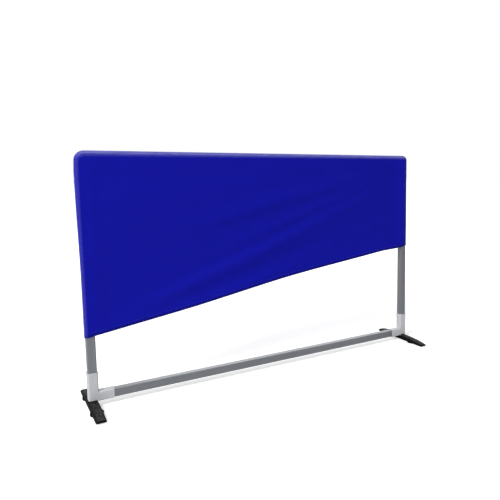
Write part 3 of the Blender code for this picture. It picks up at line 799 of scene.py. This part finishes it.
def face_relief(x, z, folds, seed):
    """How far the cloth's face stands out from its flat plane."""
    inner_half = cloth_half - top_round
    inner_top = cloth_top - top_round
    from_edge = np.minimum(inner_half - np.abs(x), inner_top - z)
    above_hem = z - hem_line(x)
    recess = grown(x, recess_right) * grown(x, recess_left)
    recess *= grown(z, recess_top) * grown(above_hem, recess_hem)
    relief = fold_relief(x, z, folds) * grown(from_edge, fold_margin) - panel_recess * recess
    relief += fine_wrinkles(x, z, seed) * grown(from_edge, wrinkle_margin)
    ridge = grown(x, ridge_side) * grown(inner_half - x, ridge_edge)
    relief += ridge_height * ridge * grown(inner_top - z, ridge_top)
    above_stitches = above_hem - hem_turn
    relief += hem_layer * (1 - ease(above_stitches / hem_layer_step))
    relief -= stitch_dent * np.exp(-(above_stitches / stitch_dent_width) ** 2)
    rolled = (1 - grown(above_hem, hem_roll_span)) * grown(np.abs(x), hem_roll_side)
    relief -= hem_roll * rolled
    return np.maximum(relief, -panel_recess - hem_roll_sink * rolled)


def settle_on_frame(points):
    """The cloth's sides belly out a little, most at the upper left."""
    x, z = points[:, 0], points[:, 2]
    left = grown(x, left_bulge_side) * grown(z, left_bulge_low)
    left *= 1 - left_bulge_loss * grown(z, left_bulge_high)
    right = grown(x, right_bulge_side) * grown(z, right_bulge_low)
    moved = points.copy()
    moved[:, 0] = x - left_bulge * left + right_bulge * right
    return moved


def panel_columns_at():
    """Each column's x, the height it ends at, and the edge's outward direction there."""
    half = cloth_half - top_round
    top = cloth_top - top_round
    corners = []
    for side, corner_round in ((-1, corner_round_left), (1, corner_round_right)):
        radius = corner_round - top_round
        corner = []
        for step in range(corner_columns):
            angle = math.pi / 2 * step / corner_columns
            x = side * (half - radius * (1 - math.cos(angle)))
            z = top - radius * (1 - math.sin(angle))
            corner.append((x, z, (side * math.cos(angle), math.sin(angle))))
        corners.append(corner)
    left_end = -half + corner_round_left - top_round
    right_end = half - corner_round_right + top_round
    straight = [(x, top, (0, 1)) for x in np.linspace(left_end, right_end, panel_columns + 1)]
    return corners[0] + straight + corners[1][::-1]


def row_heights(low, high):
    rest = panel_rows - len(hem_rows) + 1
    heights = [low + step for step in hem_rows]
    start = heights[-1]
    heights += [start + (high - start) * step / rest for step in range(1, rest + 1)]
    return heights


def painted_sheen_share(degrees, outward):
    """How much painted sheen lies at an angle round the edge."""
    across = sheen_on_face + (1 - sheen_on_face) * grown(degrees, sheen_from)
    across *= grown(degrees, sheen_until)
    side = sheen_on_left if outward[0] < 0 else sheen_on_right
    return float(across * (side + (1 - side) * outward[1] ** 2))


def cloth_piece(name, points, faces, uvs, painted_sheen, material):
    """One piece of cloth with its own weave map, given its thickness inwards."""
    mesh = bpy.data.meshes.new(name)
    mesh.from_pydata([tuple(point) for point in points], [], faces)
    above_hem = points[:, 2] - hem_line(points[:, 0])
    shade = np.maximum(0, 1 - above_hem / hem_shade_height)
    # Each point stores its share of painted sheen and of painted hem shade.
    for attribute, values in (("painted_sheen", painted_sheen), ("hem_shade", shade)):
        mesh.attributes.new(attribute, "FLOAT", "POINT").data.foreach_set("value", values)
    layer = mesh.uv_layers.new(name="weave")
    for loop in mesh.loops:
        layer.data[loop.index].uv = uvs[loop.vertex_index]
    piece = new_object(name, mesh)
    doubled = np.flatnonzero(above_hem < hem_turn).tolist()
    piece.vertex_groups.new(name="doubled").add(doubled, 1.0, "REPLACE")
    gauge = piece.modifiers.new("Gauge", "SOLIDIFY")
    gauge.thickness = cloth_gauge * 2
    gauge.offset = -1
    gauge.vertex_group = "doubled"
    gauge.thickness_vertex_group = 0.5
    gauge.use_even_offset = True
    apply_all(piece)
    smooth(piece, cloth_smooth_degrees)
    piece.data.materials.append(material)
    return piece


def make_panel(name, facing, folds, seed, material):
    columns = panel_columns_at()
    half = cloth_half - top_round
    grid_x, grid_z = [], []
    for x, top, outward in columns:
        heights = row_heights(hem_line(x), top)
        for z in heights:
            near_side = ease((abs(x) - half + spread_width) / spread_width)
            shift = (top_round - edge_round(z)) * near_side
            grid_x.append(x + math.copysign(shift, x))
            grid_z.append(z)
    grid_x, grid_z = np.array(grid_x), np.array(grid_z)
    rows = panel_rows + 1
    relief = face_relief(grid_x, grid_z, folds, seed)
    points = np.stack([grid_x, facing * (cloth_depth + relief), grid_z], axis=1)
    uvs = list(zip(grid_x, grid_z))
    count = len(columns)
    faces = []
    for column in range(count - 1):
        for row in range(rows - 1):
            a = column * rows + row
            faces.append((a, a + rows, a + rows + 1, a + 1))
    border = [(row, (-1, 0)) for row in range(rows - 1)]
    border += [(column * rows + rows - 1, columns[column][2]) for column in range(count)]
    border += [((count - 1) * rows + row, (1, 0)) for row in reversed(range(rows - 1))]
    rings = [[index for index, outward in border]]
    extra, extra_uv = [], []
    # Share of painted sheen for each point: some along the border, more round the edge lips.
    painted_sheen = [0.0] * len(points)
    for index, outward in border:
        painted_sheen[index] = painted_sheen_share(0, outward)
    steps = [(seam_degrees * step / lip_steps, 0) for step in range(1, lip_steps + 1)]
    steps.append((seam_degrees + seam_overlap_degrees, seam_tuck))
    for degrees, tuck in steps:
        ring = []
        angle = math.radians(degrees)
        near_seam = math.exp(-((seam_puff_centre - degrees) / seam_puff_width) ** 2)
        for index, outward in border:
            x, y, z = points[index]
            radius = edge_round(z) if outward[1] == 0 else top_round
            reach = radius + seam_puff * near_seam - tuck
            over = reach * math.sin(angle)
            back = radius - reach * math.cos(angle)
            extra.append((x + outward[0] * over, y + (-facing) * back, z + outward[1] * over))
            along = radius * angle
            extra_uv.append((x + outward[0] * along, z + outward[1] * along))
            painted_sheen.append(painted_sheen_share(degrees, outward))
            ring.append(len(points) + len(extra) - 1)
        rings.append(ring)
    points = np.vstack([points, np.array(extra)])
    uvs += extra_uv
    for inner, outer in zip(rings, rings[1:]):
        for index in range(len(inner) - 1):
            faces.append((inner[index], inner[index + 1], outer[index + 1], outer[index]))
    points = settle_on_frame(points)
    faces = orient(points, faces, (count // 2 * (rows - 1)) + rows // 2, (0, facing, 0))
    return cloth_piece(name, points, faces, uvs, painted_sheen, material)


def orient(points, faces, sample, towards):
    """Turns all faces so that the sample face looks the given way."""
    a, b, c = (np.array(points[index]) for index in faces[sample][:3])
    if np.dot(np.cross(b - a, c - a), np.array(towards)) < 0:
        return [tuple(reversed(face)) for face in faces]
    return faces


def edge_stations():
    """The sleeve's outer edge from the left hem, over the top, to the right hem."""
    stations = []
    for side, corner_round in ((-1, corner_round_left), (1, corner_round_right)):
        arc_top = cloth_top - corner_round
        heights = row_heights(float(hem_line(np.array(side * cloth_half))), arc_top)
        run = [((side * cloth_half, z), (side, 0), edge_round(z)) for z in heights[:-1]]
        for step in range(corner_columns + 1):
            angle = math.pi / 2 * step / corner_columns
            outward = (side * math.cos(angle), math.sin(angle))
            centre = (side * (cloth_half - corner_round), arc_top)
            spot = (centre[0] + corner_round * outward[0], centre[1] + corner_round * outward[1])
            run.append((spot, outward, top_round))
        if side < 0:
            stations += run
            left_end = -cloth_half + corner_round_left
            right_end = cloth_half - corner_round_right
            for x in np.linspace(left_end, right_end, panel_columns + 1)[1:-1]:
                stations.append(((x, cloth_top), (0, 1), top_round))
        else:
            stations += run[::-1]
    return stations


def make_edge_strip(name, material):
    stations = edge_stations()
    section = [(seam_degrees - seam_overlap_degrees, seam_tuck)]
    for step in range(strip_steps + 1):
        section.append((seam_degrees + (90 - seam_degrees) * step / strip_steps, 0))
    points, uvs, faces, painted_sheen = [], [], [], []
    travelled, previous = 0, stations[0][0]
    for (x, z), outward, radius in stations:
        travelled += math.dist((x, z), previous)
        previous = (x, z)
        line = []
        for degrees, tuck in section:
            angle = math.radians(degrees)
            reach = radius - tuck
            depth = cloth_depth - radius + reach * math.cos(angle)
            inset = radius - reach * math.sin(angle)
            if degrees < 90:
                depth -= seam_gap
            # Each point carries its share of the painted sheen round the edge.
            line.append((depth, inset, painted_sheen_share(degrees, outward)))
        middle = line[-1][0]
        line += [(middle / 2, -strip_sag * 2 / 3, 0.0), (0, -strip_sag, 0.0)]
        full = [(-depth, inset, sheen_amount) for depth, inset, sheen_amount in line] + line[-2::-1]
        across = 0
        for index, (depth, inset, sheen_amount) in enumerate(full):
            if index:
                across += math.dist(full[index - 1][:2], (depth, inset))
            points.append((x - outward[0] * inset, depth, z - outward[1] * inset))
            uvs.append((across, travelled))
            painted_sheen.append(sheen_amount)
    count = len(points) // len(stations)
    for station in range(len(stations) - 1):
        for index in range(count - 1):
            a = station * count + index
            faces.append((a, a + 1, a + 1 + count, a + count))
    points = settle_on_frame(np.array(points))
    top_station = len(stations) // 2
    faces = orient(points, faces, top_station * (count - 1) + count // 2, (0, 0, 1))
    return cloth_piece(name, points, faces, uvs, painted_sheen, material), travelled


def point_values(tree, attribute):
    node = tree.nodes.new("ShaderNodeAttribute")
    node.attribute_name = attribute
    return node.outputs["Fac"]


def woven_cloth(name):
    """Plain weave in two directions over a soft, slightly mottled dye, with a faint sheen shader, a
    painted sheen round the edge lips and a painted shade above the hem.
    """
    material, tree, shader = new_material(name)
    shader.inputs["Specular IOR Level"].default_value = 0.05
    shader.inputs["Sheen Weight"].default_value = 0.9
    shader.inputs["Sheen Roughness"].default_value = 0.22
    shader.inputs["Sheen Tint"].default_value = (0.75, 0.78, 1.0, 1)
    weave_map = tree.nodes.new("ShaderNodeUVMap")
    weave_map.uv_map = "weave"
    waves_per_metre = 2 * math.pi / (20 * weave_repeat)
    threads = []
    for direction in ("X", "Y"):
        wave = add_node(tree, "ShaderNodeTexWave", Scale=waves_per_metre, Distortion=0.5, Detail=1)
        wave.wave_type = "BANDS"
        wave.bands_direction = direction
        tree.links.new(weave_map.outputs["UV"], wave.inputs["Vector"])
        threads.append(spread(tree, wave.outputs["Fac"], -1.0, 1.0, 0.0, 1.0))
    over_under = worked_out(tree, "MULTIPLY", *threads)
    cloud = object_noise(tree, 11, 4)
    slub = object_noise(tree, (40, 40, 520), 3)
    tone = worked_out(tree, "ADD", spread(tree, cloud, 0.42, 0.58), spread(tree, slub, -0.35, 0.35))
    tone = worked_out(tree, "ADD", tone, spread(tree, over_under, -0.20, 0.20, -1.0, 1.0))
    dyed = two_tone(tree, tone, cloth_blue, cloth_blue_light)
    # Painted sheen on the edge lips, broken up into patches.
    sheen_patches = spread(tree, slub, 0.55, 1.15)
    sheen_amount = worked_out(tree, "MULTIPLY", point_values(tree, "painted_sheen"), sheen_patches)
    with_sheen = two_tone(tree, sheen_amount, dyed, cloth_painted_sheen)
    # Painted shade over the hem, darkest at its lower edge.
    shaded = spread(tree, point_values(tree, "hem_shade"), 0.0, 0.75, 0.0, 1.0)
    surface(
        tree,
        shader,
        two_tone(tree, shaded, with_sheen, cloth_painted_hem_shade),
        spread(tree, slub, 0.70, 0.86),
        bump(tree, over_under, 0.6, weave_depth, bump(tree, cloud, 0.10, cloud_depth)),
    )
    return material


def sewing_thread(name):
    material, tree, shader = new_material(name)
    shader.inputs["Specular IOR Level"].default_value = 0.35
    shader.inputs["Sheen Weight"].default_value = 0.3
    twist = object_noise(tree, 900, 2)
    surface(
        tree,
        shader,
        two_tone(tree, spread(tree, twist, 0.0, 1.0), thread_blue, cloth_blue_light),
        spread(tree, twist, 0.5, 0.7),
        bump(tree, twist, 0.3, 0.00005),
    )
    return material


def stitch_shape():
    """One stitch: a six-sided bead with pointed ends, lying along X."""
    points = [(-stitch_length / 2, 0, 0)]
    for x, share in ((-stitch_length * 0.34, 0.85), (0, 1.0), (stitch_length * 0.34, 0.85)):
        radius = stitch_radius * share
        for step in range(6):
            angle = math.pi / 3 * step
            points.append((x, radius * math.cos(angle), radius * math.sin(angle)))
    points.append((stitch_length / 2, 0, 0))
    faces = []
    for step in range(6):
        after = (step + 1) % 6
        faces.append((0, 1 + after, 1 + step))
        for ring in range(2):
            a = 1 + ring * 6
            faces.append((a + step, a + after, a + 6 + after, a + 6 + step))
        faces.append((19, 13 + step, 13 + after))
    return np.array(points), faces


def along_path(distance, lengths, values):
    return np.array([np.interp(distance, lengths, values[:, axis]) for axis in range(3)])


def stitch_row(name, path, outward, material):
    """Stitches laid end to end along a path on the cloth."""
    shape, shape_faces = stitch_shape()
    path, outward = np.array(path), np.array(outward)
    steps = np.linalg.norm(np.diff(path, axis=0), axis=1)
    lengths = np.concatenate([[0], np.cumsum(steps)])
    points, faces = [], []
    for centre in np.arange(stitch_pitch / 2, lengths[-1], stitch_pitch):
        spot = along_path(centre, lengths, path)
        ahead = along_path(min(centre + stitch_pitch / 3, lengths[-1]), lengths, path)
        behind = along_path(max(centre - stitch_pitch / 3, 0), lengths, path)
        up = along_path(centre, lengths, outward)
        tangent = (ahead - behind) / np.linalg.norm(ahead - behind)
        up -= tangent * np.dot(up, tangent)
        up /= np.linalg.norm(up)
        side = np.cross(up, tangent)
        base = len(points) * len(shape)
        points.append(spot + shape[:, :1] * tangent + shape[:, 1:2] * side + shape[:, 2:3] * up)
        faces += [tuple(base + index for index in face) for face in shape_faces]
    mesh = bpy.data.meshes.new(name)
    mesh.from_pydata([tuple(point) for point in np.vstack(points)], [], faces)
    row = new_object(name, mesh)
    make_active(row)
    bpy.ops.object.mode_set(mode="EDIT")
    bpy.ops.mesh.select_all(action="SELECT")
    bpy.ops.mesh.normals_make_consistent(inside=False)
    bpy.ops.object.mode_set(mode="OBJECT")
    bpy.ops.object.shade_smooth()
    return dress(row, material, "sleeve")


blue_cloth = woven_cloth("royal_blue_cloth")
blue_thread = sewing_thread("blue_thread")
front_cloth = make_panel("sleeve_front_cloth", -1, front_folds, 3.0, blue_cloth)
back_cloth = make_panel("sleeve_back_cloth", 1, back_folds, 21.0, blue_cloth)
edge_strip, strip_length = make_edge_strip("sleeve_edge_strip", blue_cloth)
for cloth, stood_for in (
    (front_cloth, ["sleeve_front_panel"]),
    (back_cloth, ["sleeve_back_panel"]),
    (edge_strip, ["sleeve_top_band", "sleeve_left_band", "sleeve_right_band"]),
):
    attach(cloth, "sleeve")
    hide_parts(*stood_for)

seam_out_share = math.sin(math.radians(seam_stitch_degrees))
seam_face_share = math.cos(math.radians(seam_stitch_degrees))
for facing, word, folds, seed in ((-1, "front", front_folds, 3.0), (1, "back", back_folds, 21.0)):
    hem_x = np.linspace(-cloth_half + low_round, cloth_half - low_round, 500)
    hem_z = hem_line(hem_x) + hem_turn
    hem_y = facing * (cloth_depth + face_relief(hem_x, hem_z, folds, seed) + stitch_lift)
    hem_path = settle_on_frame(np.stack([hem_x, hem_y, hem_z], axis=1))
    hem_out = np.tile((0, facing, 0), (len(hem_path), 1))
    hem_row = stitch_row("sleeve_" + word + "_hem_stitching", hem_path, hem_out, blue_thread)
    seam_path, seam_out = [], []
    for (x, z), outward, radius in edge_stations():
        inset = radius * (1 - seam_out_share) - seam_stitch_sink
        depth = cloth_depth - radius * (1 - seam_face_share) + seam_stitch_sink
        seam_path.append((x - outward[0] * inset, facing * depth, z - outward[1] * inset))
        up_x, up_z = outward[0] * seam_out_share, outward[1] * seam_out_share
        seam_out.append((up_x, facing * seam_face_share, up_z))
    seam_path = settle_on_frame(np.array(seam_path))
    seam_row = stitch_row("sleeve_" + word + "_seam_stitching", seam_path, seam_out, blue_thread)

# Floor, sky and lamps: a plain white floor that runs out of sight, a large soft lamp
# at the upper left, a weak one at the right and one overhead.
floor_size = 60
floor_white = (0.86, 0.86, 0.86)
floor_glow = 0.42
glow_start = 1.2
glow_end = 3.2
surround_level = 0.26
lamp_aim = Vector((0, 0, 0.4))

deselect_all()
bpy.ops.mesh.primitive_plane_add(size=floor_size, location=(0, 0, 0))
floor = bpy.context.object
floor.name = "floor"
material, tree, shader = new_material("white_floor")
shader.inputs["Base Color"].default_value = (*floor_white, 1)
shader.inputs["Roughness"].default_value = 0.9
shader.inputs["Specular IOR Level"].default_value = 0.0
shader.inputs["Emission Color"].default_value = (1, 1, 1, 1)
rays = tree.nodes.new("ShaderNodeLightPath")
place = tree.nodes.new("ShaderNodeTexCoord")
distance = tree.nodes.new("ShaderNodeVectorMath")
distance.operation = "LENGTH"
tree.links.new(place.outputs["Object"], distance.inputs[0])
glow = spread(tree, distance.outputs["Value"], floor_glow, 1.0, glow_start, glow_end)
seen = worked_out(tree, "MULTIPLY", rays.outputs["Is Camera Ray"], glow)
tree.links.new(seen, shader.inputs["Emission Strength"])
floor.data.materials.append(material)

world = bpy.data.worlds.new("white_surround")
world.use_nodes = True
tree = world.node_tree
background = tree.nodes["Background"]
background.inputs["Color"].default_value = (1, 1, 1, 1)
rays = tree.nodes.new("ShaderNodeLightPath")
either = rays.outputs["Is Camera Ray"]
for kind in ("Is Glossy Ray", "Is Transmission Ray"):
    either = worked_out(tree, "MAXIMUM", either, rays.outputs[kind])
strength = spread(tree, either, surround_level, 1.0, 0, 1)
tree.links.new(strength, background.inputs["Strength"])
bpy.context.scene.world = world


def soft_lamp(name, place, size, power):
    lamp = bpy.data.lights.new(name, "AREA")
    lamp.size = size
    lamp.energy = power
    holder = new_object(name, lamp)
    holder.location = place
    holder.rotation_euler = (lamp_aim - Vector(place)).to_track_quat("-Z", "Y").to_euler()
    holder.visible_camera = False


soft_lamp("key_lamp", (-6.0, -3.8, 5.6), size=2.9, power=645)
soft_lamp("rear_lamp", (1.6, 3.2, 2.2), size=3.0, power=45)
soft_lamp("top_lamp", (-0.8, -0.2, 3.6), size=1.6, power=40)

# Camera: the place and lens at which the frame's edges fall where the photograph
# shows them.
photo_width = 500
lens_pixels = 549.8
picture_centre = (353.0, 230.5)
camera_place = (-0.8356, -1.7305, 0.6972)
camera_yaw = math.radians(34.35)
camera_pitch = math.radians(-6.26)
camera_roll = math.radians(-0.08)
sensor_width = 36

camera_data = bpy.data.cameras.new("camera")
camera_data.sensor_width = sensor_width
camera_data.lens = lens_pixels * sensor_width / photo_width
camera_data.shift_x = (photo_width / 2 - picture_centre[0]) / photo_width
camera_data.shift_y = (picture_centre[1] - photo_width / 2) / photo_width
camera = new_object("camera", camera_data)
ahead = Vector((
    math.sin(camera_yaw) * math.cos(camera_pitch),
    math.cos(camera_yaw) * math.cos(camera_pitch),
    math.sin(camera_pitch),
))
level = Vector((math.cos(camera_yaw), -math.sin(camera_yaw), 0))
upright = level.cross(ahead)
right = level * math.cos(camera_roll) + upright * math.sin(camera_roll)
above = upright * math.cos(camera_roll) - level * math.sin(camera_roll)
turn = Matrix((right, above, -ahead)).transposed().to_4x4()
camera.matrix_world = Matrix.Translation(camera_place) @ turn
bpy.context.scene.camera = camera
bpy.context.scene.view_settings.view_transform = "Standard"
